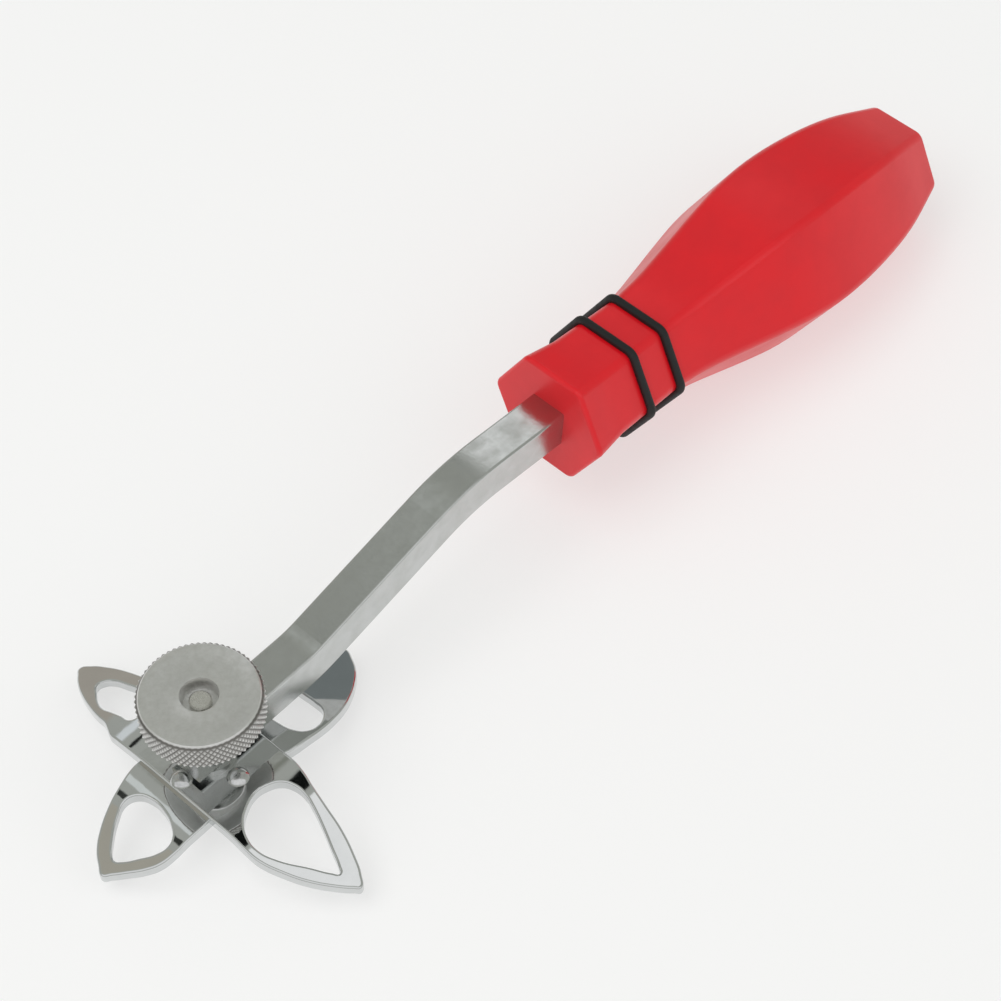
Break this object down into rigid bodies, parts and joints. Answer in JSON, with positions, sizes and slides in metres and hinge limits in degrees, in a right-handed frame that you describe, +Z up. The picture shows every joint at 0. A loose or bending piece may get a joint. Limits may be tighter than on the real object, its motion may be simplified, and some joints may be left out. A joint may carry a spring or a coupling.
{
  "type": "can opener",
  "caption": "Hand opener: a star of pierced, drooping leaves clamped by a knurled thumb nut to a cranked square bar with a hexagonal grip.",
  "frame": {"origin": "centre of the base of the whole opener's box", "axes": "+X along the arm from the star to the grip, +Z up along the clamp stud, +Y to the left"},
  "size_m": [0.2746, 0.0882, 0.0447],
  "materials": {
    "leaf_chrome": "polished",
    "bar_chrome": "polished",
    "rivet_steel": "polished",
    "stud_steel": "satin",
    "washer_steel": "satin",
    "nut_nickel": "satin turned",
    "grip_red": "moulded satin gloss",
    "ring_rubber": "matt"
  },
  "bodies": {
    "arm": {"shank_bar": "bar_chrome", "handle_grip": "grip_red", "o_ring_front": "ring_rubber", "o_ring_rear": "ring_rubber", "spacer_washer": "washer_steel", "clamp_washer": "washer_steel"},
    "nut": {"thumb_nut": "nut_nickel"},
    "stud": {"clamp_stud": "stud_steel"},
    "star": {"upper_leaf_strip": "leaf_chrome", "lower_leaf_strip": "leaf_chrome", "rivet_front": "rivet_steel", "rivet_right": "rivet_steel", "rivet_rear": "rivet_steel", "rivet_left": "rivet_steel"}
  },
  "joints": [
    {"name": "nut_turn", "type": "hinge", "parent": "arm", "child": "nut", "pos_m": [-0.10293, 0.0006, 0.02863], "axis": [0, 0, 1], "range_deg": [0, 1080]},
    {"name": "stud_drop", "type": "slide", "parent": "arm", "child": "stud", "axis": [0, 0, -1], "range_m": [0, 0.0024]},
    {"name": "star_turn", "type": "hinge", "parent": "stud", "child": "star", "pos_m": [-0.10293, 0.0006, 0.01463], "axis": [0, 0, 1], "continuous": true}
  ],
  "couplings": [
    {"joint": "nut_turn", "follows": "stud_drop", "rad_per_m": 7854}
  ]
}
